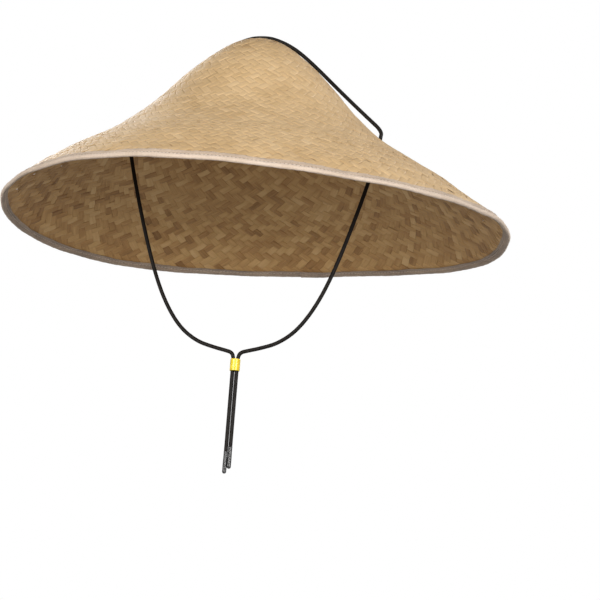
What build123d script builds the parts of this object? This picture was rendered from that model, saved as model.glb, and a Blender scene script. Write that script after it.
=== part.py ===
from build123d import *
import os
from math import asin, cos, pi, radians, sin, tan

# A conical straw hat with a bound brim and a cord that runs over the crown, through two holes and down to
# a slider bead under the chin. Millimetres, +Z up. The origin is the centre of the head-fit circle, where
# the cone's inside is as wide as an adult head; the wearer's ears are at +X and -X.

RIM_RADIUS = 205.0        # outside of the bound rim
RIM_LEVEL = -80.0         # height of the rim's wire, below the head-fit circle
SHELL_THICKNESS = 2.0     # woven straw, both layers of strips

# The outer profile is four arcs, each tangent to the next: a signed radius (negative is hollow) and the
# slope, in degrees below level, at which the arc ends.
PROFILE_ARCS = [(50.6, 37.5), (257.0, 49.8), (-275.0, 30.6), (383.0, 45.0)]

WIRE_DIAMETER = 1.4
WIRE_END_GAP = 1.0
JOINER_DIAMETER = 2.0
JOINER_WALL = 0.25
JOINER_LENGTH = 24.0
EDGE_GAP = 0.1            # between the straw's cut edge and the sleeve on the wire's ends

TAPE_THICKNESS = 0.5
TAPE_GAP = 0.05           # between the tape and the straw
OUTER_LEG = 8.5           # from the rim's edge to the tape's upper edge
INNER_LEG = 6.5
STITCH_FROM_EDGE = 4.0
THREAD_WIDTH = 0.5
THREAD_HEIGHT = 0.3

CORD_DIAMETER = 3.2
HOLE_X = 104.5            # the two cord holes, on the X axis
HOLE_RADIUS = 2.1
HOLE_CUT_LENGTH = 20.0    # well past both faces of the sloping straw
CORD_LIFT = 0.2           # between the cord and the straw where it lies on the crown
CAP_SLOPE = 22.0          # slopes, in degrees, at which the taut cord touches the rounded peak
FLANK_SLOPE = 43.4        # and the flank below it
ARC_SHARE = 0.45          # of the shorter run beside a corner of the cord, taken by the corner's arc
HOOK_RADIUS = 6.0         # where the cord turns down into its hole
SWING_DEPTH = 3.9         # from the straw's inside down to the point that the strap swings about
SWING_CLEARANCE = 0.3

BEAD_DIAMETER = 8.0
BEAD_BORE_RADIUS = 3.4
BEAD_LENGTH = 9.5
BEAD_TOP = RIM_LEVEL - 109.0
BEAD_EDGE = 0.5
TAIL_SPACING = 3.4        # between the two cords in the bead
TAIL_ENDS = {"left": -263.0, "right": -259.0}

TIP_DIAMETER = 3.3
TIP_LENGTH = 18.0
TIP_ROUND = 1.4
TIP_DOME = 2.5            # closed end of a tip, below the cord inside it
CRIMPED_DIAMETER = 2.0    # the cord inside its tip

SIDES = {"left": -1, "right": 1}


def normal(slope):
    return Vector(sin(slope), 0, cos(slope))


def profile():
    """The profile's arcs as (centre, signed radius, first slope, last slope), with the rim at its level."""
    arcs, foot, slope = [], Vector(0, 0, 0), 0.0
    for radius, degrees_below in PROFILE_ARCS:
        centre = foot - normal(slope) * radius
        last = radians(degrees_below)
        arcs.append([centre, radius, slope, last])
        foot, slope = centre + normal(last) * radius, last
    centre, radius, first, _ = arcs[-1]
    wire_radius_from_axis = RIM_RADIUS - SHELL_THICKNESS / 2 - TAPE_GAP - TAPE_THICKNESS
    last = asin((wire_radius_from_axis - centre.X) / (radius - SHELL_THICKNESS / 2))
    arcs[-1][3] = last
    wire_height = centre.Z + (radius - SHELL_THICKNESS / 2) * cos(last)
    rise = Vector(0, 0, RIM_LEVEL - wire_height)
    return [(arc[0] + rise, arc[1], arc[2], arc[3]) for arc in arcs]


ARCS = profile()
_, RIM_ARC_RADIUS, _, RIM_SLOPE = ARCS[-1]


def on_arc(arc, slope, offset):
    return arc[0] + normal(slope) * (arc[1] + offset)


def arc_edge(arc, offset, first, last):
    middle = (first + last) / 2
    return ThreePointArc(on_arc(arc, first, offset), on_arc(arc, middle, offset), on_arc(arc, last, offset))


def spun(edges, turn=360.0):
    return revolve(Face(Wire(edges)), Axis.Z, turn)


def slope_before_rim(distance):
    """The slope at a distance along the straw before the rim's wire."""
    return RIM_SLOPE - distance / RIM_ARC_RADIUS


def brim_ring(low, high, start, end):
    """A ring on the brim: its offsets from the straw's outside, and its distances from the rim's wire."""
    brim = ARCS[-1]
    first, last = slope_before_rim(start), slope_before_rim(end)
    return spun([
        arc_edge(brim, high, first, last),
        Line(on_arc(brim, last, high), on_arc(brim, last, low)),
        arc_edge(brim, low, last, first),
        Line(on_arc(brim, first, low), on_arc(brim, first, high)),
    ])


def surface_height(x, offset=0.0):
    """The height of the straw's outside, or a surface offset from it, at a distance from the axis."""
    arc = next(arc for arc in ARCS if x <= on_arc(arc, arc[3], offset).X)
    slope = asin((x - arc[0].X) / (arc[1] + offset))
    return on_arc(arc, slope, offset).Z


def cord_hole(side):
    return Pos(side * HOLE_X, 0, surface_height(HOLE_X)) * Cylinder(HOLE_RADIUS, HOLE_CUT_LENGTH)


def woven_body():
    edge = slope_before_rim(JOINER_DIAMETER / 2 + EDGE_GAP)
    arcs = ARCS[:-1] + [ARCS[-1][:3] + (edge,)]
    outside = [arc_edge(arc, 0, arc[2], arc[3]) for arc in arcs]
    inside = [arc_edge(arc, -SHELL_THICKNESS, arc[3], arc[2]) for arc in reversed(arcs)]
    lip = Line(outside[-1] @ 1, inside[0] @ 0)
    axis = Line(inside[-1] @ 1, outside[0] @ 0)
    return spun(outside + [lip] + inside + [axis]) - cord_hole(1) - cord_hole(-1)


WIRE_CENTRE = on_arc(ARCS[-1], RIM_SLOPE, -SHELL_THICKNESS / 2)


def rim_section(radius, bore=0.0):
    disc = Circle(radius) - Circle(bore) if bore else Circle(radius)
    return Plane(WIRE_CENTRE, x_dir=(1, 0, 0), z_dir=(0, -1, 0)) * disc


def about_the_back(section, length):
    """A section swept along the rim for a length, centred on the back of the hat, +Y."""
    turn = length / WIRE_CENTRE.X * 180 / pi
    return Rot(0, 0, 90 - turn / 2) * revolve(section, Axis.Z, turn)


def brim_wire():
    whole = WIRE_CENTRE.X * 2 * pi - WIRE_END_GAP
    return Rot(0, 0, 180) * about_the_back(rim_section(WIRE_DIAMETER / 2), whole)


def wire_joiner():
    outer = JOINER_DIAMETER / 2
    return about_the_back(rim_section(outer, outer - JOINER_WALL), JOINER_LENGTH)


def brim_binding():
    brim = ARCS[-1]
    along = Vector(cos(RIM_SLOPE), 0, -sin(RIM_SLOPE))
    out = normal(RIM_SLOPE)
    inner_round = SHELL_THICKNESS / 2 + TAPE_GAP
    outer_round = inner_round + TAPE_THICKNESS
    top = slope_before_rim(OUTER_LEG - outer_round)
    bottom = slope_before_rim(INNER_LEG - outer_round)
    high = TAPE_GAP + TAPE_THICKNESS
    low = -SHELL_THICKNESS - TAPE_GAP - TAPE_THICKNESS
    w = WIRE_CENTRE
    return spun([
        arc_edge(brim, high, top, RIM_SLOPE),
        ThreePointArc(w + out * outer_round, w + along * outer_round, w - out * outer_round),
        arc_edge(brim, low, RIM_SLOPE, bottom),
        Line(on_arc(brim, bottom, low), on_arc(brim, bottom, low + TAPE_THICKNESS)),
        arc_edge(brim, low + TAPE_THICKNESS, bottom, RIM_SLOPE),
        ThreePointArc(w - out * inner_round, w + along * inner_round, w + out * inner_round),
        arc_edge(brim, TAPE_GAP, RIM_SLOPE, top),
        Line(on_arc(brim, top, TAPE_GAP), on_arc(brim, top, high)),
    ])


def stitch_line(low, high):
    from_wire = STITCH_FROM_EDGE - SHELL_THICKNESS / 2 - TAPE_GAP - TAPE_THICKNESS
    return brim_ring(low, high, from_wire + THREAD_WIDTH / 2, from_wire - THREAD_WIDTH / 2)


def needle_thread():
    base = TAPE_GAP + TAPE_THICKNESS
    return stitch_line(base, base + THREAD_HEIGHT)


def bobbin_thread():
    base = -SHELL_THICKNESS - TAPE_GAP - TAPE_THICKNESS
    return stitch_line(base - THREAD_HEIGHT, base)


def cord_route(points):
    """The corners of straight runs joined by tangent arcs, and each arc's radius."""
    points = [Vector(*point) for point in points]
    radii = []
    for before, corner, after in zip(points, points[1:], points[2:]):
        half_turn = radians((corner - before).get_angle(after - corner)) / 2
        shorter = min((corner - before).length, (after - corner).length)
        radii.append(ARC_SHARE * shorter / tan(half_turn))
    return points, radii


def cord_tube(name, points, radii):
    path = FilletPolyline(*points, radius=radii)
    tube = sweep(Plane(path @ 0, z_dir=path % 0) * Circle(CORD_DIAMETER / 2), path=path)
    expected = path.length * pi * CORD_DIAMETER ** 2 / 4
    print(name, "length", round(path.length, 1), "volume ratio", round(tube.volume / expected, 4),
          "radii", [round(radius, 1) for radius in radii])
    return tube


SWING_CENTRE = surface_height(HOLE_X, -SHELL_THICKNESS) - SWING_DEPTH
CROWN_CORD_END = SWING_CENTRE + CORD_DIAMETER / 2 + SWING_CLEARANCE


def crown_corners():
    """The corners of the taut cord on one side of the crown: tangent lines to the cap and the flank."""
    lift = CORD_DIAMETER / 2 + CORD_LIFT
    cap_centre, cap_radius, _, cap_slope = ARCS[0]
    flank_centre, flank_radius, _, _ = ARCS[1]
    first, last = radians(CAP_SLOPE), radians(FLANK_SLOPE)
    tangents = [
        (cap_centre + normal(0) * (cap_radius + lift), 0.0),
        (cap_centre + normal(first) * (cap_radius + lift), first),
        (cap_centre + normal(cap_slope) * (cap_radius + lift), cap_slope),
        (flank_centre + normal(last) * (flank_radius + lift), last),
    ]
    corners = [meeting(*pair) for pair in zip(tangents, tangents[1:])]
    foot, slope = tangents[-1]
    drop = (HOLE_X - foot.X) * tan(slope)
    return corners + [Vector(HOLE_X, 0, foot.Z - drop), Vector(HOLE_X, 0, CROWN_CORD_END)]


def meeting(one, other):
    """Where two lines cross, each a point and its slope below level."""
    (a, slope_a), (b, slope_b) = one, other
    x = (b.Z - a.Z + b.X * tan(slope_b) - a.X * tan(slope_a)) / (tan(slope_b) - tan(slope_a))
    return Vector(x, 0, a.Z - (x - a.X) * tan(slope_a))


def crown_cord():
    right = crown_corners()
    left = [Vector(-point.X, 0, point.Z) for point in reversed(right)]
    points, radii = cord_route([tuple(point) for point in left + right])
    radii[0] = radii[-1] = HOOK_RADIUS
    print("crown cord points", [(round(p.X, 1), round(p.Z, 1)) for p in points[len(points) // 2:]])
    return cord_tube("crown_cord", points, radii)


# The hanging cord on the +X side, from its hole to the slider bead: X and height above the rim's level.
STRAND = [
    (HOLE_X, SWING_CENTRE - RIM_LEVEL),
    (100.4, 49.0),
    (91.6, 17.0),
    (81.2, -17.0),
    (70.6, -46.5),
    (60.0, -68.0),
    (47.6, -85.0),
    (33.4, -96.6),
    (18.6, -102.4),
    (7.0, -104.2),
    (TAIL_SPACING / 2, -106.4),
]


def chin_cord(name):
    side, end = SIDES[name], TAIL_ENDS[name]
    route = [(side * x, 0, RIM_LEVEL + height) for x, height in STRAND]
    points, radii = cord_route(route + [(side * TAIL_SPACING / 2, 0, end)])
    tube = cord_tube("chin_cord_" + name, points, radii)
    rounded_start = Pos(points[0]) * Sphere(CORD_DIAMETER / 2)
    crimped = TIP_LENGTH - TIP_DOME
    core = Pos(points[-1] - Vector(0, 0, crimped / 2)) * Cylinder(CRIMPED_DIAMETER / 2, crimped)
    return tube + rounded_start + core


def cord_tip(name):
    side, top = SIDES[name], TAIL_ENDS[name]
    sleeve = Cylinder(TIP_DIAMETER / 2, TIP_LENGTH)
    sleeve = fillet(sleeve.edges().sort_by(Axis.Z)[0], TIP_ROUND)
    crimped = TIP_LENGTH - TIP_DOME
    sleeve -= Pos(0, 0, TIP_DOME / 2) * Cylinder(CRIMPED_DIAMETER / 2, crimped)
    return Pos(side * TAIL_SPACING / 2, 0, top - TIP_LENGTH / 2) * sleeve


def slider_bead():
    bead = Cylinder(BEAD_DIAMETER / 2, BEAD_LENGTH)
    bead = fillet(bead.edges().filter_by(GeomType.CIRCLE), BEAD_EDGE)
    bead -= Cylinder(BEAD_BORE_RADIUS, BEAD_LENGTH)
    return Pos(0, 0, BEAD_TOP - BEAD_LENGTH / 2) * bead


def nodes():
    made = {
        "woven_body": woven_body(),
        "brim_wire": brim_wire(),
        "wire_joiner": wire_joiner(),
        "brim_binding": brim_binding(),
        "needle_thread": needle_thread(),
        "bobbin_thread": bobbin_thread(),
        "crown_cord": crown_cord(),
        "slider_bead": slider_bead(),
    }
    for name in SIDES:
        made["chin_cord_" + name] = chin_cord(name)
        made["cord_tip_" + name] = cord_tip(name)
    return made


os.makedirs("parts", exist_ok=True)
for name, shape in nodes().items():
    export_step(shape, f"parts/{name}.step")
print("swing centre", round(SWING_CENTRE, 2), "apex", round(surface_height(0.0), 2))
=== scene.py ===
from math import asin, ceil, cos, pi, radians, sin, tan

import bpy
import numpy as np
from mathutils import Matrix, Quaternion, Vector


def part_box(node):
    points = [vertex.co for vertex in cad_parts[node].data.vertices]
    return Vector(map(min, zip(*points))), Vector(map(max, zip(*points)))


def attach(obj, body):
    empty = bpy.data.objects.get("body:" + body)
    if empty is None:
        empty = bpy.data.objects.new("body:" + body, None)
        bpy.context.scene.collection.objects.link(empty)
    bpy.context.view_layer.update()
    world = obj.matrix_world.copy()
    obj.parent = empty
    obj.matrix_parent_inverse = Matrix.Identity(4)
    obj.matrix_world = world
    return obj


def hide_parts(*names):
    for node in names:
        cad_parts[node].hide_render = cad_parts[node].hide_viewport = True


# A conical straw hat: two families of palm strips in a bias twill, a folded tape round a wired rim, and one
# black cord that goes over the crown and down to a bead. Metres, in the frame of the CAD model.

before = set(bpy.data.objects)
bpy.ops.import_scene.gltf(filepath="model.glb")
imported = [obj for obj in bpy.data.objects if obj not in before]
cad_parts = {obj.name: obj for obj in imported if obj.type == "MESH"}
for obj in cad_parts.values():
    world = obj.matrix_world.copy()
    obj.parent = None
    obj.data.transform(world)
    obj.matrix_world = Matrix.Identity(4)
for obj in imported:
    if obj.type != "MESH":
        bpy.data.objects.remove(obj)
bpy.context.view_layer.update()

MM = 0.001

# ---- the straw's surface

RIM_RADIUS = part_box("brim_binding")[1].x
RIM_LEVEL = sum(corner.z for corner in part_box("brim_wire")) / 2
SHELL = 2.0 * MM
TAPE_THICKNESS = 0.5 * MM
TAPE_GAP = 0.05 * MM          # between the tape and the straw
WIRE_FROM_EDGE = SHELL / 2 + TAPE_GAP + TAPE_THICKNESS

# The outer profile's arcs, from the peak down: signed radius, and slope in degrees where the arc ends.
PROFILE_ARCS = [(50.6 * MM, 37.5), (257.0 * MM, 49.8), (-275.0 * MM, 30.6), (383.0 * MM, 45.0)]


def profile():
    """Each arc as centre x, centre z, signed radius, first and last slope, and path length to its start."""
    arcs, x, z, slope, along = [], 0.0, 0.0, 0.0, 0.0
    for radius, degrees_below in PROFILE_ARCS:
        centre_x, centre_z = x - sin(slope) * radius, z - cos(slope) * radius
        last = radians(degrees_below)
        arcs.append([centre_x, centre_z, radius, slope, last, along])
        x, z = centre_x + sin(last) * radius, centre_z + cos(last) * radius
        along += (last - slope) * radius
        slope = last
    centre_x, centre_z, radius = arcs[-1][:3]
    last = asin((RIM_RADIUS - WIRE_FROM_EDGE - centre_x) / (radius - SHELL / 2))
    arcs[-1][4] = last
    rise = RIM_LEVEL - (centre_z + (radius - SHELL / 2) * cos(last))
    for arc in arcs:
        arc[1] += rise
    return np.array(arcs)


ARCS = profile()
WIRE_PATH = ARCS[-1][5] + (ARCS[-1][4] - ARCS[-1][3]) * ARCS[-1][2]


def on_profile(along, offset):
    """Radius, height and slope at a distance along the outer profile, offset from it along its normal."""
    along = np.asarray(along, float)
    which = np.clip(np.searchsorted(ARCS[:, 5], along, side="right") - 1, 0, len(ARCS) - 1)
    centre_x, centre_z, radius, first, _, start = np.moveaxis(ARCS[which], -1, 0)
    slope = first + (along - start) / radius
    reach = radius + offset
    return centre_x + np.sin(slope) * reach, centre_z + np.cos(slope) * reach, slope


PATH_SAMPLES = 4000
SAMPLES = np.linspace(0.1 * MM, WIRE_PATH, PATH_SAMPLES)
SAMPLE_RADII = on_profile(SAMPLES, -SHELL / 2)[0]
TURNS = np.concatenate([[0.0], np.cumsum(np.diff(SAMPLES) * 2 / (SAMPLE_RADII[1:] + SAMPLE_RADII[:-1]))])


def path_at_radius(radius):
    return np.interp(radius, SAMPLE_RADII, SAMPLES)


def turns_at_radius(radius):
    """The integral of path over radius: a line at a fixed angle to the meridians turns in step with it."""
    return np.interp(radius, SAMPLE_RADII, TURNS)


# The brim has taken a set in use: it is wavy, and it leans a little to one side of the crown. The sizes of
# the waves and the lean are the result of a least-squares fit to the rim's outline in the photo.
SET_STARTS = 100.0 * MM
SET_HEADING = radians(15.0)
WAVE_HEIGHTS = [
    (0, "cos", 1.64 * MM), (1, "cos", -0.26 * MM), (1, "sin", -0.18 * MM), (2, "cos", -0.39 * MM),
    (2, "sin", 3.81 * MM), (3, "cos", -0.04 * MM), (3, "sin", -2.07 * MM), (4, "cos", 0.31 * MM),
    (4, "sin", -0.55 * MM),
]
WAVE_WIDTHS = [(2, "cos", 0.006), (2, "sin", -0.0057)]
LEAN = 8.36 * MM
DENTS = [(0.22, 0.27, -3.6, 0.0), (1.15, 0.34, 0.0, 2.2)]    # heading, width, outwards and upwards in mm
PEAK_RISE = 1.4 * MM          # the peak is a little sharper than the CAD model's round one
PEAK_WIDTH = 17.0 * MM
BUMPS = np.random.default_rng(11)
BUMP_COUNT = 18
BUMP_HEIGHT = 0.16 * MM
BUMP_WAVES = [    # waves in a turn and their phase, waves down the hat and their phase
    (BUMPS.integers(3, 23), BUMPS.uniform(0, 2 * pi), BUMPS.uniform(60, 210), BUMPS.uniform(0, 2 * pi))
    for _ in range(BUMP_COUNT)
]


def waves(terms, turn):
    """The sum of a few waves round the hat, each with its number in a turn, its kind and its size."""
    return sum(size * (np.cos(k * turn) if kind == "cos" else np.sin(k * turn)) for k, kind, size in terms)


def bumps(along, turn):
    """Small lumps all over the straw, which grow towards the rim."""
    total = sum(np.cos(k * turn + a) * np.cos(f * along + b) for k, a, f, b in BUMP_WAVES)
    return total * np.clip(along / WIRE_PATH, 0.15, 1.0) ** 1.5 * BUMP_HEIGHT


def surface(along, turn, offset):
    """Points of the straw at a distance along the profile, an angle and an offset from its outside."""
    along, turn, offset = np.broadcast_arrays(along, turn, offset)
    radius, height, _ = on_profile(along, offset + bumps(along, turn))
    share = np.clip((radius - SET_STARTS) / (RIM_RADIUS - SET_STARTS), 0, None)
    local = turn - SET_HEADING
    peak = PEAK_RISE * np.exp(-(radius / PEAK_WIDTH) ** 2)
    height = height + waves(WAVE_HEIGHTS, local) * share ** 1.5 + peak
    radius = radius * (1 + waves(WAVE_WIDTHS, local) * share)
    for heading, width, outwards, upwards in DENTS:
        near = np.exp(-(((turn - heading + pi) % (2 * pi) - pi) / width) ** 2) * share ** 2 * MM
        radius, height = radius + outwards * near, height + upwards * near
    x = radius * np.cos(turn) + LEAN * share * cos(SET_HEADING)
    y = radius * np.sin(turn) + LEAN * share * sin(SET_HEADING)
    return np.stack([x, y, height], axis=-1)


# ---- meshes

def grid_faces(rows, columns, start=0):
    """Quads between rows of a grid of points whose last column joins its first."""
    row = np.arange(rows - 1)[:, None] * columns
    column = np.arange(columns)[None, :]
    after = (column + 1) % columns
    quads = np.stack([row + column, row + after, row + columns + after, row + columns + column], axis=-1)
    return quads.reshape(-1, 4) + start


def tube_faces(rows, columns):
    """Quads of such a grid with an even number of columns, and over both its ends."""
    half, shift = columns // 2, (rows - 1) * columns
    first = [(k, columns - 1 - k, columns - 2 - k, k + 1) for k in range(half - 1)]
    last = [(shift + d, shift + c, shift + b, shift + a) for a, b, c, d in first]
    return np.concatenate([grid_faces(rows, columns), np.array(first + last)])


def make_mesh(name, points, quads, material, attributes=None):
    """An object with these points and quads, smooth shaded, and the named vectors on its points."""
    mesh = bpy.data.meshes.new(name)
    mesh.vertices.add(points.size // 3)
    mesh.vertices.foreach_set("co", np.ascontiguousarray(points, np.float32).ravel())
    mesh.loops.add(quads.size)
    mesh.loops.foreach_set("vertex_index", np.ascontiguousarray(quads, np.int32).ravel())
    mesh.polygons.add(len(quads))
    mesh.polygons.foreach_set("loop_start", np.arange(0, quads.size, 4, dtype=np.int32))
    mesh.polygons.foreach_set("use_smooth", np.ones(len(quads), bool))
    for key, values in (attributes or {}).items():
        layer = mesh.attributes.new(key, "FLOAT_VECTOR", "POINT")
        layer.data.foreach_set("vector", np.ascontiguousarray(values, np.float32).ravel())
    mesh.update(calc_edges=True)
    mesh.validate()
    mesh.materials.append(material)
    piece = bpy.data.objects.new(name, mesh)
    bpy.context.scene.collection.objects.link(piece)
    return piece


def place(piece, body, slot, *nodes):
    """Says which body a piece rides on and the CAD nodes that it replaces; the slot is not used."""
    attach(piece, body)
    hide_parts(*nodes)
    return piece


# ---- materials

def add_node(tree, kind, inputs=(), **settings):
    """A new node whose inputs are given as values or as sockets to link."""
    made = tree.nodes.new("ShaderNode" + kind)
    for key, value in settings.items():
        setattr(made, key, value)
    for key, value in dict(inputs).items():
        if isinstance(value, bpy.types.NodeSocket):
            tree.links.new(value, made.inputs[key])
        else:
            made.inputs[key].default_value = value
    return made


class Shader:
    """A material with one Principled shader and helpers that add nodes to it."""

    def __init__(self, name, **values):
        self.material = bpy.data.materials.new(name)
        self.material.use_nodes = True
        self.tree = self.material.node_tree
        self.surface = self.tree.nodes["Principled BSDF"]
        for key, value in values.items():
            self.surface.inputs[key.replace("_", " ")].default_value = value

    def node(self, kind, inputs=(), **settings):
        return add_node(self.tree, kind, inputs, **settings)

    def place(self):
        return self.node("NewGeometry").outputs["Position"]

    def math(self, operation, one, other=0.0):
        """The other value is left out for an operation on one."""
        return self.node("Math", {0: one, 1: other}, operation=operation).outputs[0]

    def attribute(self, name):
        return self.node("Attribute", attribute_name=name).outputs["Vector"]

    def split(self, vector):
        return self.node("SeparateXYZ", {0: vector}).outputs

    def noise(self, vector, scale, detail=3.0, roughness=0.55):
        """Noise with one scale, or with one for each axis."""
        if isinstance(scale, tuple):
            vector = self.node("VectorMath", {0: vector, 1: scale}, operation="MULTIPLY").outputs[0]
            scale = 1.0
        values = {"Vector": vector, "Scale": scale, "Detail": detail, "Roughness": roughness}
        return self.node("TexNoise", values).outputs["Fac"]

    def ramp(self, factor, stops):
        made = self.node("ValToRGB", {"Fac": factor})
        elements = made.color_ramp.elements
        while len(elements) < len(stops):
            elements.new(0.5)
        for element, (position, colour) in zip(elements, stops):
            element.position, element.color = position, (*colour, 1.0)
        return made.outputs["Color"]

    def total(self, terms):
        """The sum of several values."""
        result = terms[0]
        for term in terms[1:]:
            result = self.math("ADD", result, term)
        return result

    def bump(self, height, distance, strength, under=None):
        values = {"Height": height, "Distance": distance, "Strength": strength}
        if under is not None:
            values["Normal"] = under
        return self.node("Bump", values).outputs["Normal"]

    def spread(self, factor, low, high, start=0.0, end=1.0, shape="LINEAR"):
        """A value that goes from low to high while the factor goes from start to end."""
        values = {"Value": factor, "From Min": start, "From Max": end, "To Min": low, "To Max": high}
        return self.node("MapRange", values, interpolation_type=shape).outputs["Result"]

    def finished(self, colour, roughness, normal=None):
        """Links what varies over the surface, and gives the material."""
        for socket, name in ((colour, "Base Color"), (roughness, "Roughness"), (normal, "Normal")):
            if socket is not None:
                self.tree.links.new(socket, self.surface.inputs[name])
        return self.material

    def weighted(self, *pairs):
        """The sum of several values, each times its weight."""
        return self.total([self.math("MULTIPLY", value, weight) for value, weight in pairs])


PEAK_SHADE = (0.0, -0.08, 48 * MM, 74 * MM)    # darker from 48 to 74 mm up: painted shade over the peak, whose straw faces up
INSIDE_CONTRAST = 3.9         # how much more the strips differ in tone on the inside: random tone, and painted glints on single strips
MIX_FACTOR, MIX_ONE, MIX_OTHER = 0, 6, 7    # a Mix node's sockets for colours


def straw_material():
    """Split palm: long fibres along each strip, a tone of its own, painted shade on the peak, and a browner,
    more varied inside: its own colour with painted shade and painted glints.
    """
    shader = Shader("palm_straw", Specular_IOR_Level=0.3, Sheen_Weight=0.05)
    strip = shader.attribute("strip")
    tone = shader.split(shader.attribute("tone"))
    fibres = shader.noise(strip, (45.0, 1900.0, 1.0), 4.0, 0.6)
    ribs = shader.noise(strip, (9.0, 620.0, 1.0), 2.0)
    patches = shader.noise(strip, (30.0, 60.0, 1.0))
    where = shader.place()
    stains = shader.noise(where, 22.0)
    # painted shade: the straw gets darker towards the upward-facing peak
    peak_shade = shader.spread(shader.split(where)[2], *PEAK_SHADE, "SMOOTHSTEP")
    outside = shader.weighted((fibres, 0.20), (ribs, 0.13), (patches, 0.16), (stains, 0.24))
    # on the inside the strips' tones spread wider: random tone, and painted glints on single strips
    inside = shader.weighted((fibres, 0.34), (ribs, 0.26), (patches, 0.50), (tone[0], INSIDE_CONTRAST))
    upper = shader.ramp(shader.total([outside, tone[0], peak_shade]), [
        (0.18, (0.350, 0.205, 0.082)),
        (0.29, (0.530, 0.355, 0.175)),
        (0.40, (0.625, 0.435, 0.232)),
        (0.52, (0.700, 0.520, 0.305)),
    ])
    # the inside's colours: browner straw, and darker than the outside's as painted shade under the hat
    under = shader.ramp(inside, [
        (0.22, (0.220, 0.105, 0.035)),
        (0.45, (0.470, 0.258, 0.096)),
        (0.62, (0.610, 0.368, 0.150)),
        (0.80, (0.710, 0.466, 0.214)),
    ])
    face = shader.node("Mix", data_type="RGBA")
    for value, socket in ((tone[1], MIX_FACTOR), (upper, MIX_ONE), (under, MIX_OTHER)):
        shader.tree.links.new(value, face.inputs[socket])
    fine = shader.bump(fibres, 0.10 * MM, 0.5)
    normal = shader.bump(ribs, 0.22 * MM, 0.5, fine)
    return shader.finished(face.outputs[2], shader.spread(fibres, 0.44, 0.66), normal)


# Darkening on the tape: how strong it is at both ends of a stretch, and where the stretch starts and ends.
GROOVE_DIRT_AND_SHADE = (0.42, 0.0, 0.15 * MM, 1.0 * MM)     # dirt and painted shade in the stitched groove, by distance from the groove
OUTER_LEG_DARKENING = (0.21, 0.0, 3.2 * MM, 5.4 * MM)   # darker over the outer leg, by distance from the tape's outer edge
# painted shade under the roll and on the inner leg, by distance from the tape's outer edge
INNER_LEG_SHADE = (0.0, 0.34, 9.0 * MM, 12.0 * MM)
TAPE_YARN = 0.55 * MM


def tape_material():
    """Cotton bias tape with a fine plain weave, dirt and painted shade in its groove, a darker outer leg and
    painted shade on its inner leg.
    """
    shader = Shader("bias_tape", Specular_IOR_Level=0.2, Sheen_Weight=0.15)
    place_on_tape = shader.attribute("tape")
    along, across = shader.split(place_on_tape)[:2]
    from_groove = shader.math("ABSOLUTE", shader.math("SUBTRACT", across, OUTER_LEG - STITCH_FROM_EDGE))
    tape_darkening = shader.total([
        # dirt and painted shade in the stitched groove
        shader.spread(from_groove, *GROOVE_DIRT_AND_SHADE, "SMOOTHSTEP"),
        # darker over the outer leg, from its edge to the groove
        shader.spread(across, *OUTER_LEG_DARKENING, "SMOOTHSTEP"),
        # painted shade under the roll and on the inner leg
        shader.spread(across, *INNER_LEG_SHADE, "SMOOTHSTEP"),
    ])
    phases = [shader.math("MULTIPLY", part, 2 * pi / TAPE_YARN) for part in (along, across)]
    weave = shader.math("MULTIPLY", *[shader.math("SINE", phase) for phase in phases])
    cloud = shader.noise(place_on_tape, (40.0, 160.0, 1.0), 4.0)
    streak = shader.noise(place_on_tape, (900.0, 250.0, 1.0), 2.0)
    mixed = shader.math("SUBTRACT", shader.weighted((cloud, 0.6), (streak, 0.3), (weave, 0.06)), tape_darkening)
    colour = shader.ramp(mixed, [
        (0.00, (0.31, 0.240, 0.190)),
        (0.24, (0.52, 0.400, 0.300)),
        (0.45, (0.64, 0.515, 0.410)),
        (0.75, (0.74, 0.620, 0.520)),
    ])
    soft = shader.bump(streak, 0.15 * MM, 0.5)
    normal = shader.bump(weave, 0.10 * MM, 0.6, soft)
    return shader.finished(colour, shader.spread(cloud, 0.72, 0.92), normal)


THREAD_TWIST = 0.45 * MM      # from one ply to the next


def thread_material():
    """Soiled sewing thread with its plies' slant."""
    shader = Shader("sewing_thread", Specular_IOR_Level=0.3, Sheen_Weight=0.1)
    strip = shader.attribute("strip")
    parts = shader.split(strip)
    slant = shader.math("ADD", parts[0], shader.math("MULTIPLY", parts[1], 1.4))
    twist = shader.math("SINE", shader.math("MULTIPLY", slant, 2 * pi / THREAD_TWIST))
    shade = shader.noise(strip, (500.0, 900.0, 1.0), 2.0)
    colour = shader.ramp(shade, [(0.25, (0.55, 0.44, 0.35)), (0.75, (0.76, 0.66, 0.56))])
    return shader.finished(colour, shader.spread(shade, 0.5, 0.7), shader.bump(twist, 0.05 * MM, 0.7))


def metal_material(name, colour, roughness):
    """Drawn metal with fine scratches."""
    shader = Shader(name, Metallic=1.0)
    scratches = shader.noise(shader.place(), 900.0, 4.0)
    shade = shader.ramp(scratches, [(0.2, [c * 0.7 for c in colour]), (0.8, colour)])
    return shader.finished(shade, shader.spread(scratches, roughness - 0.12, roughness + 0.12))


def cord_material():
    """Black polyester braid: yarn fibres that follow each carrier, and a faint sheen."""
    shader = Shader("black_braid", Specular_IOR_Level=0.17, Sheen_Weight=0.03, Sheen_Roughness=0.4)
    strip = shader.attribute("strip")
    fibres = shader.noise(strip, (500.0, 6000.0, 1.0))
    dust = shader.noise(strip, 90.0)
    mixed = shader.weighted((fibres, 0.6), (dust, 0.4))
    colour = shader.ramp(mixed, [(0.3, (0.0042, 0.0032, 0.0026)), (0.8, (0.0155, 0.0122, 0.0100))])
    return shader.finished(colour, shader.spread(fibres, 0.42, 0.66), shader.bump(fibres, 0.06 * MM, 0.6))


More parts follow.
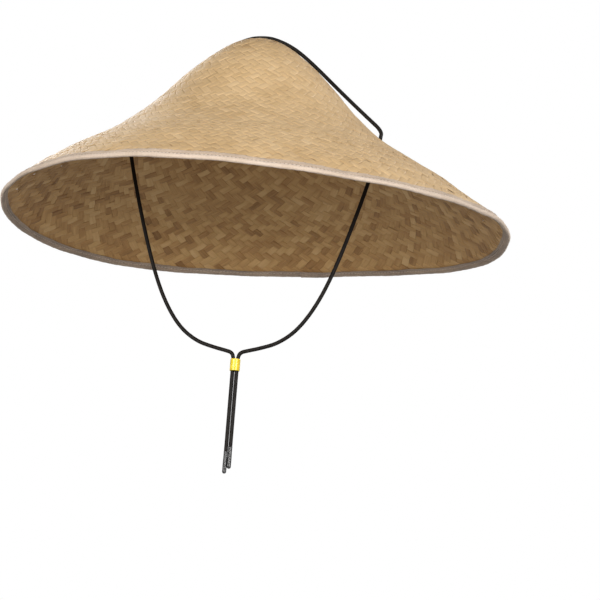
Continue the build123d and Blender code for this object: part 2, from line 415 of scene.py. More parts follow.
def bead_material():
    """Moulded yellow plastic with a fine grain."""
    shader = Shader("yellow_plastic", Specular_IOR_Level=0.5, Coat_Weight=0.25, Coat_Roughness=0.12)
    where = shader.place()
    cloud = shader.noise(where, 260.0)
    grain = shader.noise(where, 2600.0, 2.0)
    colour = shader.ramp(cloud, [(0.3, (0.80, 0.58, 0.020)), (0.7, (0.90, 0.70, 0.045))])
    return shader.finished(colour, shader.spread(cloud, 0.24, 0.36), shader.bump(grain, 0.03 * MM, 0.4))


def clear_material():
    """A smoky, partly clear heat-shrunk sleeve with faint draw lines."""
    shader = Shader("clear_sleeve", Transmission_Weight=0.35, IOR=1.42, Base_Color=(0.05, 0.05, 0.052, 1.0))
    lines = shader.noise(shader.place(), (900.0, 900.0, 60.0), 2.0)
    return shader.finished(None, shader.spread(lines, 0.03, 0.08))


def core_material():
    """The crimped end of the black cord, inside its sleeve."""
    shader = Shader("crimped_cord", Specular_IOR_Level=0.4)
    fibres = shader.noise(shader.place(), (3000.0, 3000.0, 300.0))
    colour = shader.ramp(fibres, [(0.3, (0.006, 0.006, 0.006)), (0.8, (0.03, 0.028, 0.027))])
    return shader.finished(colour, shader.spread(fibres, 0.35, 0.6), shader.bump(fibres, 0.03 * MM, 0.4))


# ---- the weave

# Two families of strips wind down the hat at a fixed angle to its meridians, one each way. Where the hat gets
# wider, new strips start between the old ones: each zone has its strips per family and its inner radius.
ZONES = [(24, 24 * MM), (32, 33 * MM), (44, 45 * MM), (64, 63 * MM), (96, 92 * MM), (144, 137 * MM)]
HOLE_X = 104.5 * MM
HOLE_HALF_OPENING = 2.2 * MM
BIAS = radians(46.5)
BIAS_TURN = tan(BIAS)
STRIP_THICKNESS = 0.42 * MM
LAYER_HEIGHT = (0.30 * MM, 0.40 * MM)    # half the distance between two crossing strips: crown, brim
MIDDLE_DEPTH = (0.58 * MM, 1.0 * MM)     # from the CAD model's outside to the middle of the straw
BRIM_FROM, BRIM_EASE = 0.55, 0.3         # where the crown turns into the brim, in shares of the path
UNDER_TAPE = 10.0 * MM        # the straw is pressed flat this far from the wire
PRESSED = 0.35                # by this share of its height
SECTION_STEP = 1.0 * MM       # down the hat, between sections of a strip
SECTION = np.array([-0.5, -0.36, 0.36, 0.5])       # across a strip, in strip widths
SECTION_LIFT = np.array([0.3, 1.0, 1.0, 0.3])      # its upper face, in half thicknesses; the lower mirrors it
SPREAD_BEFORE = 9.0 * MM      # the strips of a zone start to make room for new ones this far above its edge
SPREAD_AFTER = 5.0 * MM
NEW_STRIP_BEFORE = 9.5 * MM   # a new strip starts this far above its zone's edge
NEW_STRIP_JITTER = 1.5 * MM   # give or take
NEW_STRIP_WIDTH = 0.60        # the share of its width that it starts with
GROWS_OVER = 10.0 * MM        # how far down it has all of its width
RISES_OVER = (4.0 * MM, 5.0 * MM)        # a strip starts flat: one from the mat, one laid in
ROUND_HOLE = 2.4 * MM         # how far from a cord hole, along a strip, the strip is narrower
MAT_RADIUS = 34.0 * MM
MAT_PITCH = 5.2 * MM
MAT_STEEPNESS = 2.2           # of the rise from under one strip to over the next
MAT_TILT = 0.08 * MM

# The strips' tones, about 0: how much they vary, within which limits, and how many are darker by how much.
TONE_SPREAD, TONE_LIMITS = 0.024, (-0.042, 0.05)
DARK_SHARE, DARKER_BY = 0.03, 0.018

random = np.random.default_rng(5)
ROWS = np.arange(path_at_radius(ZONES[0][1]), WIRE_PATH - 1.0 * MM, SECTION_STEP)
ROW_TURNS = np.interp(ROWS, SAMPLES, TURNS) - turns_at_radius(HOLE_X)
ZONE_STARTS = [path_at_radius(radius) for _, radius in ZONES]


def eased(share):
    """From 0 to 1, with a soft start and end."""
    t = np.clip(share, 0, 1)
    return t * t * (3 - 2 * t)


def crown_to_brim(values, along):
    """A value that is one thing on the crown and another on the brim."""
    crown, brim = values
    return crown + (brim - crown) * eased((along / WIRE_PATH - BRIM_FROM) / BRIM_EASE)


def layer_height(along):
    pressed = eased((along - WIRE_PATH + UNDER_TAPE) / (3 * MM))
    return crown_to_brim(LAYER_HEIGHT, along) * (1 - PRESSED * pressed)


# How loose the plait is at each row: on the brim, but not under the tape.
LOOSENESS = eased((ROWS / WIRE_PATH - 0.6) / 0.25)
LOOSENESS -= eased((ROWS - WIRE_PATH + UNDER_TAPE + 5 * MM) / (5 * MM))


def drifting(size, spacing):
    """A value for each row that wanders slowly along a strip."""
    knots = random.normal(0, size, len(ROWS) // spacing + 3)
    return np.interp(np.arange(len(ROWS)) / spacing, np.arange(len(knots)), knots)


def zone_blend(values):
    """A value for each row that goes from each zone's to the next one's. None marks a zone with no value."""
    known = [(value, start) for value, start in zip(values, ZONE_STARTS) if value is not None]
    result = np.full(len(ROWS), known[0][0])
    for (before, _), (after, start) in zip(known, known[1:]):
        result += (after - before) * eased((ROWS - start + SPREAD_BEFORE) / (SPREAD_BEFORE + SPREAD_AFTER))
    return result


PITCH_TURN = zone_blend([2 * pi / count for count, _ in ZONES])


def family_lines():
    """Each strip of a family: the angle of its starting line at each row, and its first row."""
    lines = []
    for index in range(ZONES[-1][0]):
        places, number = [None] * len(ZONES), index
        for zone in reversed(range(len(ZONES))):
            count = ZONES[zone][0]
            places[zone] = 2 * pi * (number + 0.5) / count
            if zone:
                inner = ZONES[zone - 1][0]
                from_inner = [int((k + 0.5) * count / inner) for k in range(inner)]
                if number not in from_inner:
                    break
                number = from_inner.index(number)
        first = next(zone for zone, value in enumerate(places) if value is not None)
        start = 0.0
        if first:
            start = ZONE_STARTS[first] - NEW_STRIP_BEFORE
            start += random.uniform(-NEW_STRIP_JITTER, NEW_STRIP_JITTER)
        lines.append((zone_blend(places), int(np.searchsorted(ROWS, start))))
    return lines


def ring_signs():
    """For each row, 1 or -1: which family is over in its ring of crossings, with the twill run on."""
    rings, shift = np.zeros(len(ROWS)), 0
    zone = np.searchsorted(ZONE_STARTS, ROWS, side="right") - 1
    for number, (count, _) in enumerate(ZONES):
        here = zone == number
        local = 2 * ROW_TURNS * BIAS_TURN * count / (2 * pi)
        if number:
            first = int(np.argmax(here))
            shift = round(rings[first - 1] - local[first])
        rings[here] = local[here] + shift
    return np.where(np.cos(pi * (rings - 0.5) / 2) > 0, 1.0, -1.0)


def weave_lifts(family, lines, others, over):
    """How each strip of a family rises and dips, from +1 to -1, as it crosses the other family's strips."""
    other = np.full((len(ROWS), len(others)), np.nan)
    for column, (line, first) in enumerate(others):
        other[first:, column] = (line - family * BIAS_TURN * ROW_TURNS)[first:]
    lifts = []
    for line, first in lines:
        own = line + family * BIAS_TURN * ROW_TURNS
        gap = (own[:, None] - other + pi) % (2 * pi) - pi
        near = (np.abs(gap[:-1]) < 0.3) & (np.abs(gap[1:]) < 0.3)
        rows, columns = np.nonzero(near & (family * gap[:-1] < 0) & (family * gap[1:] >= 0))
        share = gap[rows, columns] / (gap[rows, columns] - gap[rows + 1, columns])
        at = np.sort(rows + share)
        at = at[at > first]
        sign = family * over[np.clip(np.round(at).astype(int), 0, len(over) - 1)]
        place = np.interp(np.arange(len(ROWS)), at, np.arange(len(at)))
        before = np.clip(np.floor(place).astype(int), 0, len(at) - 2)
        share = eased((place - before - 0.12) / 0.76)
        lifts.append(sign[before] + (sign[before + 1] - sign[before]) * share)
    return lifts


class Strips:
    """Collects strips into one mesh."""

    def __init__(self):
        self.points, self.quads, self.strip, self.tone, self.count = [], [], [], [], 0

    def add(self, place_at, length, lift, width, shift, tilt, pitch):
        """Adds a strip. place_at(across, offset) gives its points: across in strip pitches, offset from the
        straw's mid surface; the rest are values for each of its rows."""
        across = SECTION * width[:, None] + shift[:, None]
        centre = lift[:, None] + SECTION * tilt[:, None]
        half = SECTION_LIFT * STRIP_THICKNESS / 2
        upper, lower = place_at(across, centre + half), place_at(across, centre - half)
        points = np.concatenate([upper, lower[:, ::-1]], axis=1).reshape(-1, 3)
        rows, columns = len(lift), 2 * len(SECTION)
        seed = random.uniform(0, 900)
        side = np.concatenate([SECTION, SECTION[::-1]]) * width[:, None] * pitch[:, None]
        along = np.repeat(length[:, None] + seed, columns, axis=1)
        shade = np.clip(random.normal(0.0, TONE_SPREAD), *TONE_LIMITS)
        shade -= (random.random() < DARK_SHARE) * DARKER_BY
        inside = np.repeat([0.0, 1.0], len(SECTION))[None, :].repeat(rows, axis=0)
        self.points.append(points)
        self.quads.append(tube_faces(rows, columns) + self.count)
        self.strip.append(np.stack([along, side, np.full(side.shape, seed)], axis=-1).reshape(-1, 3))
        self.tone.append(np.stack([np.full(side.shape, shade), inside, side * 0], axis=-1).reshape(-1, 3))
        self.count += len(points)

    def piece(self, name, material):
        attributes = {"strip": np.concatenate(self.strip), "tone": np.concatenate(self.tone)}
        return make_mesh(name, np.concatenate(self.points), np.concatenate(self.quads), material, attributes)


def round_the_holes(family, line, width):
    """A strip beside a cord hole is narrower there. Gives its width and its sideways shift at each row."""
    shift = np.zeros(len(ROWS))
    row = int(np.argmin(np.abs(ROW_TURNS)))
    pitch = HOLE_X * PITCH_TURN[row] * cos(BIAS)
    for hole in (0.0, pi):
        away = ((line[row] - hole + pi) % (2 * pi) - pi) / PITCH_TURN[row]
        if abs(away) < 0.75:
            nearest = np.interp(-family * away * PITCH_TURN[row] / (2 * BIAS_TURN), ROW_TURNS, ROWS)
            push = HOLE_HALF_OPENING / pitch * np.exp(-((ROWS - nearest) / ROUND_HOLE) ** 2)
            width = width - push
            shift = shift + np.sign(away) * push / 2
    return width, shift


def add_spiral(strips, family, line, first, lift):
    """One strip, from the crown or from where it is laid in, down to the rim."""
    turn = line + family * BIAS_TURN * ROW_TURNS
    since = ROWS - ROWS[first]
    grows = eased(since / GROWS_OVER) if first else np.ones(len(ROWS))
    width = random.uniform(1.01, 1.07) + drifting(0.012, 8) + 0.075 * LOOSENESS
    width = width * (NEW_STRIP_WIDTH + (1 - NEW_STRIP_WIDTH) * grows)
    width, shift = round_the_holes(family, line, width)
    shift = shift + drifting(0.010, 12) + drifting(0.018, 30)
    from_mat, laid_in = RISES_OVER
    lift = layer_height(ROWS) * lift * eased(since / laid_in - 0.2 if first else since / from_mat)
    lift = lift + drifting(0.04 * MM, 8) * (1 + 1.8 * LOOSENESS)
    tilt = drifting(0.09 * MM, 7) * (1 + LOOSENESS)
    pitch = on_profile(ROWS, -SHELL / 2)[0] * PITCH_TURN * cos(BIAS)
    depth = crown_to_brim(MIDDLE_DEPTH, ROWS)
    keep = slice(first, None)

    def place_at(across, offset):
        other = across * PITCH_TURN[keep, None]
        turns = np.interp(ROWS[keep], SAMPLES, TURNS)[:, None] - family * other / (2 * BIAS_TURN)
        along = np.interp(turns, TURNS, SAMPLES)
        return surface(along, turn[keep, None] + other / 2, offset - depth[keep, None])

    values = [value[keep] for value in (lift, width, shift, tilt, pitch)]
    strips.add(place_at, ROWS[keep] / cos(BIAS), *values)


def spiral_pieces(material):
    """Every strip from the crown mat to the rim, in three pieces for each family."""
    lines = {family: family_lines() for family in (1, -1)}
    over = ring_signs()
    pieces = []
    for family, hand in ((1, "right"), (-1, "left")):
        lifts = weave_lifts(family, lines[family], lines[-family], over)
        third = ZONES[-1][0] // 3
        for part in range(3):
            strips = Strips()
            for index in range(part * third, (part + 1) * third):
                add_spiral(strips, family, *lines[family][index], lifts[index])
            pieces.append(strips.piece(f"straw_{hand}_{part + 1}", material))
    return pieces


def crown_mat(material):
    """The square mat that the plait starts from, over the peak."""
    count = int(MAT_RADIUS / MAT_PITCH)
    pieces = []
    for family, name in ((1, "crown_mat_warp"), (-1, "crown_mat_weft")):
        strips = Strips()
        for index in range(-count, count + 1):
            half = (MAT_RADIUS ** 2 - (index * MAT_PITCH) ** 2) ** 0.5
            half += random.uniform(-NEW_STRIP_JITTER, NEW_STRIP_JITTER)
            v = np.linspace(-half, half, 2 * ceil(half / SECTION_STEP / 2) + 2)
            phase = v / MAT_PITCH - family * index
            wave = np.cos(pi * (phase - 0.5) / 2)
            lift = family * layer_height(0.0) * np.tanh(MAT_STEEPNESS * wave) / np.tanh(MAT_STEEPNESS)
            lift = lift - 0.5 * layer_height(0.0) * eased((np.abs(v) - half + 3 * MM) / (3 * MM))

            def place_at(across, offset, index=index, v=v):
                one = np.broadcast_to(v[:, None], across.shape)
                other = (index + across) * MAT_PITCH
                x, y = (one, other) if family > 0 else (other, one)
                return surface(np.hypot(x, y), np.arctan2(y, x), offset - MIDDLE_DEPTH[0])

            even = np.ones(len(v))
            strips.add(place_at, v, lift, even * random.uniform(0.97, 1.03), even * random.normal(0, 0.015),
                       even * random.normal(0, MAT_TILT), even * MAT_PITCH)
        pieces.append(strips.piece(name, material))
    return pieces


# ---- the rim

OUTER_LEG = 8.5 * MM
INNER_LEG = 6.5 * MM
STITCH_FROM_EDGE = 4.0 * MM
WIRE_RADIUS = 0.7 * MM
WIRE_GAP = 1.0 * MM
SLEEVE_RADIUS = 1.0 * MM
SLEEVE_WALL = 0.25 * MM
SLEEVE_LENGTH = 24.0 * MM
LAP = 18.0 * MM
TAPE_PLY = 0.42 * MM          # the cloth itself; the CAD tape also holds the slack of its folds
STITCH_PITCH = 3.0 * MM
RIM_TURN = RIM_RADIUS - WIRE_FROM_EDGE
STITCH = STITCH_FROM_EDGE - WIRE_FROM_EDGE
GROOVE_DEPTH = 0.62 * MM
GROOVE_WIDTH = 0.85 * MM
ROLL_BULGE = 0.32 * MM        # how much fuller the tape is over the wire than over the straw
ROLL_WIDTH = 1.7 * MM
TAPE_ROWS = 1200
PUCKERS = ((7.3, 0.5, 260.0), (11.9, 0.6, -190.0), (4.6, 0.3, 330.0), (31.0, 0.7, 60.0))    # mm, size, lean
PUCKER_HEIGHT = 0.09 * MM
EDGE_WANDER = 0.28 * MM
WANDER_WAVES = (23.0, 57.0, 131.0)       # mm


def rim_section(turn, distance, height):
    """A point in the plane of the rim's section: distance out from the wire along the brim, and height
    above the straw's mid surface. Distance below zero is back along the straw."""
    turn, distance, height = np.broadcast_arrays(turn, distance, height)
    offset, step = height - SHELL / 2, 0.5 * MM
    base = surface(WIRE_PATH + np.minimum(distance, 0.0), turn, offset)
    edge, before = surface(WIRE_PATH, turn, offset), surface(WIRE_PATH - step, turn, offset)
    return base + (edge - before) / step * np.maximum(distance, 0.0)[..., None]


def tape_outline():
    """The folded tape's section from its upper edge to its lower one: the place along each leg (zero at the
    wire, negative on the straw), the angle round the wire, and the length along the outline."""
    outer = np.linspace(WIRE_FROM_EDGE - OUTER_LEG, 0, 25)
    inner = np.linspace(0, WIRE_FROM_EDGE - INNER_LEG, 19)
    fold = np.linspace(pi / 2, -pi / 2, 13)[1:-1]
    place_on_leg = np.concatenate([outer, fold * 0, inner])
    angle = np.concatenate([np.full(len(outer), pi / 2), fold, np.full(len(inner), -pi / 2)])
    steps = np.abs(np.diff(place_on_leg)) + np.abs(np.diff(angle)) * WIRE_FROM_EDGE
    return place_on_leg, angle, np.concatenate([[0], np.cumsum(steps)])


def binding(material):
    """Bias tape folded over the rim: a full roll over the wire, a sewn groove, and an overlap at the back."""
    on_leg, angle, outline = tape_outline()
    lap_turn = LAP / RIM_TURN
    turn = (pi / 2 - lap_turn / 2 + np.linspace(0, 2 * pi + lap_turn, TAPE_ROWS))[:, None]
    along = turn * RIM_TURN
    puckers = sum(
        np.cos(along * 2 * pi / (wave * MM) + random.uniform(0, 2 * pi) + outline[None, :] * lean) * size
        for wave, size, lean in PUCKERS
    )
    groove = np.exp(-((on_leg + STITCH) / GROOVE_WIDTH) ** 2)[None, :]
    roll = np.exp(-(on_leg / ROLL_WIDTH) ** 2)[None, :]
    lifted = np.clip((-on_leg - STITCH - 1.5 * MM) / (3 * MM), 0, 1)[None, :]    # a leg's free edge
    out = WIRE_FROM_EDGE + ROLL_BULGE * (roll - 0.35) - GROOVE_DEPTH * groove
    out = out + puckers * PUCKER_HEIGHT * (1 - 0.7 * groove) + lifted * (0.12 + 0.10 * puckers) * MM
    climb = turn[-1, 0] - np.array([1.4, 1.05]) * lap_turn    # where the last end climbs onto the first
    out = out + np.interp(turn, climb, [0.0, 1.0]) * (TAPE_PLY + 0.05 * MM)
    wander = sum(np.cos(along * 2 * pi / (wave * MM) + random.uniform(0, 2 * pi)) for wave in WANDER_WAVES)
    inwards = EDGE_WANDER / 2 * wander * np.clip(-on_leg / (5 * MM), 0, 1)[None, :]
    layers = []
    for ply in (0.0, TAPE_PLY):
        reach = out - ply
        distance = on_leg[None, :] - inwards + np.cos(angle) * reach
        layers.append(rim_section(turn, distance, np.sin(angle) * reach))
    ring = np.concatenate([layers[0], layers[1][:, ::-1]], axis=1)
    columns = ring.shape[1]
    across = np.concatenate([outline, outline[::-1]])[None, :].repeat(TAPE_ROWS, axis=0)
    tape = np.stack([along.repeat(columns, axis=1), across, np.zeros_like(across)], axis=-1)
    return make_mesh("brim_tape", ring, tube_faces(TAPE_ROWS, columns), material, {"tape": tape})


def stitches(name, side, material):
    """A row of lockstitches round the brim, on its upper (1) or lower (-1) side."""
    count = round(2 * pi * RIM_TURN / STITCH_PITCH)
    seat = WIRE_FROM_EDGE - GROOVE_DEPTH - 0.35 * ROLL_BULGE
    rows, columns = 7, 8
    shape = np.linspace(-1, 1, rows)
    around = np.linspace(0, 2 * pi, columns, endpoint=False)
    loop = tube_faces(rows, columns)
    points, quads, strip = [], [], []
    for index in range(count):
        middle = 2 * pi * (index + (0.0 if side > 0 else 0.5)) / count
        turn = (middle + shape * STITCH_PITCH * 0.43 / RIM_TURN)[:, None]
        slant = random.uniform(-0.10, 0.16) * MM * shape
        rise = (0.24 - 0.62 * np.abs(shape) ** 4) * MM
        thickness = (0.22 - 0.09 * np.abs(shape) ** 3) * MM
        distance = slant[:, None] - STITCH + np.cos(around) * thickness[:, None] * 1.15
        height = side * (seat + rise[:, None] + np.sin(around) * thickness[:, None])
        quads.append(loop + index * rows * columns)
        points.append(rim_section(turn, distance, height))
        along = (turn * RIM_TURN).repeat(columns, axis=1)
        over = np.broadcast_to(around * 0.24 * MM, along.shape)
        strip.append(np.stack([along, over, np.full(along.shape, index * 0.37)], axis=-1))
    return make_mesh(name, np.concatenate(points), np.concatenate(quads), material,
                     {"strip": np.concatenate(strip)})


def rim_rod(name, first, last, radius, bore, material):
    """A rod, or a tube if it has a bore, along the wire's line between two angles."""
    rows, columns = max(8, ceil((last - first) * RIM_TURN / (2.5 * MM))), 12
    turn = np.linspace(first, last, rows)[:, None]
    around = np.linspace(0, 2 * pi, columns, endpoint=False)[None, :]
    ring = rim_section(turn, np.cos(around) * radius, np.sin(around) * radius)
    if not bore:
        return make_mesh(name, ring, tube_faces(rows, columns), material)
    inside = rim_section(turn, np.cos(around) * bore, np.sin(around) * bore)
    k = np.arange(columns)
    after, shift = (k + 1) % columns, rows * columns
    lip = np.stack([k, k + shift, after + shift, after], axis=-1)
    quads = [grid_faces(rows, columns), grid_faces(rows, columns, shift)[:, ::-1],
             lip, lip[:, ::-1] + shift - columns]
    return make_mesh(name, np.concatenate([ring, inside]), np.concatenate(quads), material)


# ---- the cord

CORD_DIAMETER = 3.2 * MM
TAIL_X = 1.7                  # millimetres, like the routes

# The cord's routes, from the hole outwards: x and z in millimetres.
CROWN_HALF = [
    (0.0, 78.6), (10.2, 77.7), (26.2, 70.8), (42.5, 58.2), (73.0, 29.6), (93.2, 11.5), (105.6, 0.6),
    (104.5, -5.5), (104.5, -11.35),
]
STRAND = [
    (104.5, -13.25), (100.4, -31.0), (91.6, -63.0), (81.2, -97.0), (70.6, -126.5), (60.0, -148.0),
    (47.6, -165.0), (33.4, -175.2), (20.0, -179.4), (10.0, -181.8), (3.6, -183.4), (1.75, -187.6),
    (TAIL_X, -194.0),
]
TAIL_ENDS = {"left": -263.0, "right": -259.0}
SIDES = {"left": -1, "right": 1}
BRAID_CARRIERS = 8            # in each direction
BRAID_PITCH = 9.0 * MM
BRAID_DEPTH = 0.20 * MM
CORD_STEP = 0.36 * MM         # between sections of a cord
CORD_COLUMNS = 32


def spline_line(name, points):
    """Points along the smooth line whose control points are the route's."""
    curve = bpy.data.curves.new(name, "CURVE")
    curve.dimensions = "3D"
    curve.resolution_u = 32
    spline = curve.splines.new("NURBS")
    spline.points.add(len(points) - 1)
    for point, (x, z) in zip(spline.points, points):
        point.co = (x * MM, 0.0, z * MM, 1.0)
    spline.order_u = 3
    spline.use_endpoint_u = True
    holder = bpy.data.objects.new(name, curve)
    mesh = bpy.data.meshes.new_from_object(holder)
    line = np.array([vertex.co for vertex in mesh.vertices], float)
    bpy.data.meshes.remove(mesh)
    bpy.data.objects.remove(holder)
    bpy.data.curves.remove(curve)
    return line


def evenly(line, step):
    """The line's points again, spaced evenly, and the length to each."""
    along = np.concatenate([[0], np.cumsum(np.linalg.norm(np.diff(line, axis=0), axis=1))])
    at = np.linspace(0, along[-1], ceil(along[-1] / step) + 1)
    return np.stack([np.interp(at, along, line[:, k]) for k in range(3)], axis=1), at


def braid_height(turn, along):
    """From 0 to 1: the surface of two families of carriers that pass over and under each other."""
    one = BRAID_CARRIERS / 2 * turn + pi * BRAID_CARRIERS * along / BRAID_PITCH
    other = BRAID_CARRIERS / 2 * turn - pi * BRAID_CARRIERS * along / BRAID_PITCH
    a, b = np.sin(one), np.sin(other)
    over = np.clip(2.2 * a * b, -1, 1)
    return np.maximum(np.abs(a) ** 0.6 * (0.6 + 0.4 * over), np.abs(b) ** 0.6 * (0.6 - 0.4 * over))


def braided_cord(name, route, material, round_ends):
    """A braided tube along a route in the plane of the holes. Gives the piece and its own line."""
    line, along = evenly(spline_line(name, route), CORD_STEP)
    ahead = np.gradient(line, axis=0)
    ahead /= np.linalg.norm(ahead, axis=1)[:, None]
    side = np.broadcast_to([0.0, 1.0, 0.0], line.shape)
    up = np.cross(ahead, side)
    turn = np.linspace(0, 2 * pi, CORD_COLUMNS, endpoint=False)[None, :]
    rounding = CORD_DIAMETER / 2
    radius = rounding - BRAID_DEPTH * (1 - braid_height(turn, along[:, None]))
    for distance, is_round in zip((along, along[-1] - along), round_ends):
        if is_round:
            inside = np.clip(1 - distance / rounding, 0, 1)
            radius = radius * np.sqrt(np.clip(1 - inside ** 2, 0.02, 1))[:, None]
    ring = np.cos(turn)[..., None] * side[:, None, :] + np.sin(turn)[..., None] * up[:, None, :]
    points = line[:, None, :] + ring * radius[..., None]
    quads = tube_faces(len(line), CORD_COLUMNS)[:, ::-1]
    lengths = along[:, None].repeat(CORD_COLUMNS, axis=1)
    strip = np.stack([lengths, np.broadcast_to(turn * rounding, lengths.shape), lengths * 0], axis=-1)
    return make_mesh(name, points, quads, material, {"strip": strip}), line


def turned(name, outline, material, columns, centre=(0.0, 0.0)):
    """A solid of revolution about a vertical axis. The outline is a closed list of (radius, height)."""
    turn = np.linspace(0, 2 * pi, columns, endpoint=False)
    outline = np.array(outline)
    x = centre[0] + np.cos(turn)[:, None] * outline[None, :, 0]
    y = centre[1] + np.sin(turn)[:, None] * outline[None, :, 0]
    z = np.broadcast_to(outline[None, :, 1], x.shape)
    points = np.stack([x, y, z], axis=-1)
    rings = len(outline)
    return make_mesh(name, points, grid_faces(columns + 1, rings) % (columns * rings), material)


BEAD_BORE = 6.8 * MM
BEAD_WAIST = 0.05 * MM        # how much fuller the bead is in its middle
TIP_CORE = 1.0 * MM           # the radius inside a tip's sleeve
TIP_SOLID_END = 2.5 * MM
NEAR_AXIS = 0.02 * MM         # a turned outline stops just short of its axis


def slider_bead(material):
    """A barrel bead with rounded lips and a wide bore."""
    low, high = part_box("slider_bead")
    outer, bore = (high.x - low.x) / 2, BEAD_BORE / 2
    lip = (outer - bore) / 2
    middle, top, bottom = bore + lip, high.z - lip, low.z + lip
    outline = [(middle + lip * cos(a), top + lip * sin(a)) for a in np.linspace(pi, 0, 9)]
    outline += [(outer - BEAD_WAIST * (2 * t - 1) ** 2, top + (bottom - top) * t)
                for t in np.linspace(0, 1, 9)[1:-1]]
    outline += [(middle + lip * cos(a), bottom - lip * sin(a)) for a in np.linspace(0, pi, 9)]
    outline += [(bore, bottom + (top - bottom) * t) for t in np.linspace(0, 1, 5)[1:-1]]
    return turned("bead", outline, material, 64)


def cord_tip(name, plastic, black):
    """A sleeve shrunk over the crimped end of the cord, with a solid rounded end."""
    low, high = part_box("cord_tip_" + name)
    centre = ((low.x + high.x) / 2, 0.0)
    outer = (high.x - low.x) / 2
    solid, round_from, edge = low.z + TIP_SOLID_END, low.z + outer, high.z - 0.3 * MM
    outline = [(outer - 0.06 * MM * sin(7 * t), edge + (round_from - edge) * t)
               for t in np.linspace(0, 1, 15)[:-1]]
    outline += [(max(outer * cos(a), NEAR_AXIS), round_from - outer * sin(a))
                for a in np.linspace(0, pi / 2, 9)]
    outline += [(NEAR_AXIS, solid), (TIP_CORE * 0.9, solid), (TIP_CORE, solid + 0.2 * MM)]
    outline += [(TIP_CORE, high.z - 0.2 * MM), (TIP_CORE + 0.1 * MM, high.z), (outer - 0.15 * MM, high.z)]
    sleeve = turned("tip_" + name, outline, plastic, 32, centre)
    fill = TIP_CORE + 0.03 * MM       # the cord's crimped end fills the sleeve
    outline = [(NEAR_AXIS, high.z + 0.3 * MM), (fill, high.z + 0.3 * MM)]
    crimps = [(fill + 0.03 * MM * (k % 2), high.z - 1.0 * MM - k * 0.9 * MM) for k in range(16)]
    outline += [point for point in crimps if point[1] > solid + 0.6 * MM]
    outline += [(fill, solid + 0.25 * MM), (NEAR_AXIS, solid - 0.15 * MM)]
    return sleeve, turned("tip_core_" + name, outline, black, 24, centre)


# ---- the studio

# The camera was fitted to the hat's outline in the photo too.
CAMERA_DISTANCE = 2.05        # from the centre of the rim
CAMERA_PLACE = (15.0, -13.14)     # degrees round the hat from its front, and above the rim
CAMERA_FACING = (13.636, 11.583, 4.444)   # degrees: heading, upwards, roll
CAMERA_LENS = 152.8


def direction(heading, rise):
    heading, rise = radians(heading), radians(rise)
    return Vector((cos(rise) * sin(heading), -cos(rise) * cos(heading), sin(rise)))


def put(name, data, position, rotation):
    """A new camera or light at a place, turned by a quaternion."""
    made = bpy.data.objects.new(name, data)
    made.location = position
    made.rotation_mode = "QUATERNION"
    made.rotation_quaternion = rotation
    bpy.context.scene.collection.objects.link(made)
    return made


def add_camera():
    """The camera in front of and below the rim, turned so that the hat sits upper left of the middle."""
    heading, upwards, roll = CAMERA_FACING
    data = bpy.data.cameras.new("camera")
    data.lens, data.sensor_width = CAMERA_LENS, 36.0
    data.clip_start, data.clip_end = 0.05, 50.0
    position = Vector((0, 0, RIM_LEVEL)) + direction(*CAMERA_PLACE) * CAMERA_DISTANCE
    level = (-direction(heading, -upwards)).to_track_quat("-Z", "Y")
    turned_by = level @ Quaternion((0, 0, 1), radians(roll))
    bpy.context.scene.camera = put("camera", data, position, turned_by)


def area_light(name, position, target, size, watts, colour):
    data = bpy.data.lights.new(name, "AREA")
    data.shape, data.size, data.energy, data.color = "DISK", size, watts, colour
    put(name, data, position, (Vector(target) - Vector(position)).to_track_quat("-Z", "Y"))


WHITE = (1.0, 1.0, 1.0, 1.0)
SKY_LIGHT = (0.14, 0.30)      # from straight above, and from below
FLOOR_LEVEL = -2.6            # far enough down to look up at the hat from under it
FLOOR_HALF = 60.0
HAT = (0.0, 0.0, 0.0)
NEUTRAL, WARM = (1.0, 0.99, 0.98), (1.0, 0.98, 0.95)
LIGHTS = [    # name, place, where it points, size, watts, colour
    ("key", (-0.85, -2.3, 0.15), HAT, 1.2, 41, (1.0, 0.985, 0.96)),
    ("side", (1.7, -1.7, 0.20), HAT, 1.2, 42, NEUTRAL),
    ("back_left", (-1.5, 2.0, 1.1), HAT, 1.2, 28, NEUTRAL),
    ("back_right", (1.6, 1.9, 1.1), HAT, 1.2, 32, NEUTRAL),
    ("low_left", (-1.7, -1.5, -0.62), (0.1, 0, -0.05), 0.9, 5.0, WARM),
    ("low_right", (1.6, -1.4, -0.55), (-0.1, 0, -0.05), 0.9, 3.5, WARM),
]


def pale_floor():
    """A plain white floor, as bright as the backdrop, that gives the hat no light of its own."""
    shader = Shader("pale_floor", Base_Color=(0.0, 0.0, 0.0, 1.0), Specular_IOR_Level=0.0,
                    Emission_Color=WHITE, Emission_Strength=1.0)
    corners = [(-1, -1), (1, -1), (1, 1), (-1, 1)]
    points = np.array([(x * FLOOR_HALF, y * FLOOR_HALF, FLOOR_LEVEL) for x, y in corners])
    floor = make_mesh("floor", points, np.array([[0, 1, 2, 3]]), shader.material)
    floor.visible_diffuse = floor.visible_glossy = floor.visible_shadow = False


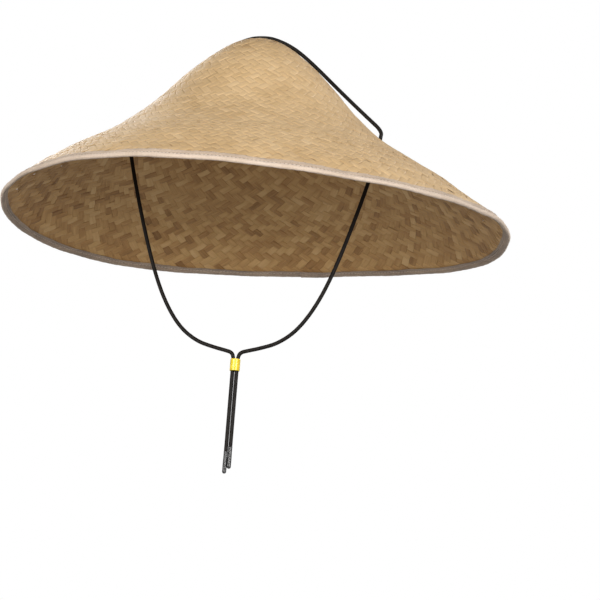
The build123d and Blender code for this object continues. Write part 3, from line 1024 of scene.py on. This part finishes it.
def studio():
    """A white studio: soft lights in front and behind, more light from below than from above, a far floor."""
    scene = bpy.context.scene
    scene.view_settings.view_transform = "Standard"
    scene.view_settings.look = "None"
    world = bpy.data.worlds.new("studio")
    world.use_nodes = True
    tree = world.node_tree
    backdrop, from_above, from_below = tree.nodes["Background"], *SKY_LIGHT
    backdrop.inputs["Color"].default_value, backdrop.inputs["Strength"].default_value = WHITE, 1.0
    where = add_node(tree, "TexCoord").outputs["Generated"]
    rise = add_node(tree, "SeparateXYZ", {0: where}).outputs["Z"]
    strength = add_node(tree, "MapRange", {
        "Value": rise, "From Min": -0.7, "From Max": 0.9, "To Min": from_below, "To Max": from_above,
    }).outputs["Result"]
    sky = add_node(tree, "Background", {"Color": WHITE, "Strength": strength}).outputs[0]
    seen = add_node(tree, "LightPath").outputs["Is Camera Ray"]
    mix = add_node(tree, "MixShader", {0: seen, 1: sky, 2: backdrop.outputs[0]})
    tree.links.new(mix.outputs[0], tree.nodes["World Output"].inputs["Surface"])
    scene.world = world
    pale_floor()
    for light in LIGHTS:
        area_light(*light)


# ---- the hat


def build_cords():
    black, plastic, core = cord_material(), clear_material(), core_material()
    crown_route = [(-x, z) for x, z in reversed(CROWN_HALF[1:])] + CROWN_HALF
    crown, line = braided_cord("crown_loop", crown_route, black, (True, True))
    place(crown, "hat", "black_cord", "crown_cord")
    bead = place(slider_bead(bead_material()), "bead", "yellow_bead", "slider_bead")
    for name, side in SIDES.items():
        route = [(side * x, z) for x, z in STRAND + [(TAIL_X, TAIL_ENDS[name])]]
        strand, line = braided_cord("chin_strand_" + name, route, black, (True, False))
        place(strand, "chin_strap", "black_cord", "chin_cord_" + name)
        sleeve, crimped = cord_tip(name, plastic, core)
        place(sleeve, "chin_strap", "clear_tip", "cord_tip_" + name)
        place(crimped, "chin_strap", "black_cord")


def build_rim(straw_pieces):
    tape = place(binding(tape_material()), "hat", "binding_tape", "brim_binding")
    thread = thread_material()
    upper = place(stitches("needle_stitches", 1, thread), "hat", "stitch_thread", "needle_thread")
    lower = place(stitches("bobbin_stitches", -1, thread), "hat", "stitch_thread", "bobbin_thread")
    steel = metal_material("rim_steel", (0.56, 0.56, 0.57), 0.42)
    ferrule = metal_material("ferrule_metal", (0.72, 0.72, 0.73), 0.36)
    gap = WIRE_GAP / RIM_TURN
    wire = rim_rod("rim_wire", -pi / 2 + gap / 2, 3 * pi / 2 - gap / 2, WIRE_RADIUS, 0, steel)
    place(wire, "hat", "rim_wire", "brim_wire")
    half = SLEEVE_LENGTH / 2 / RIM_TURN
    bore = SLEEVE_RADIUS - SLEEVE_WALL
    sleeve = rim_rod("wire_sleeve", pi / 2 - half, pi / 2 + half, SLEEVE_RADIUS, bore, ferrule)
    place(sleeve, "hat", "wire_sleeve", "wire_joiner")


def build_straw():
    material = straw_material()
    pieces = crown_mat(material) + spiral_pieces(material)
    for piece in pieces:
        place(piece, "hat", "straw", "woven_body")
    return pieces


studio()
add_camera()
build_cords()
build_rim(build_straw())
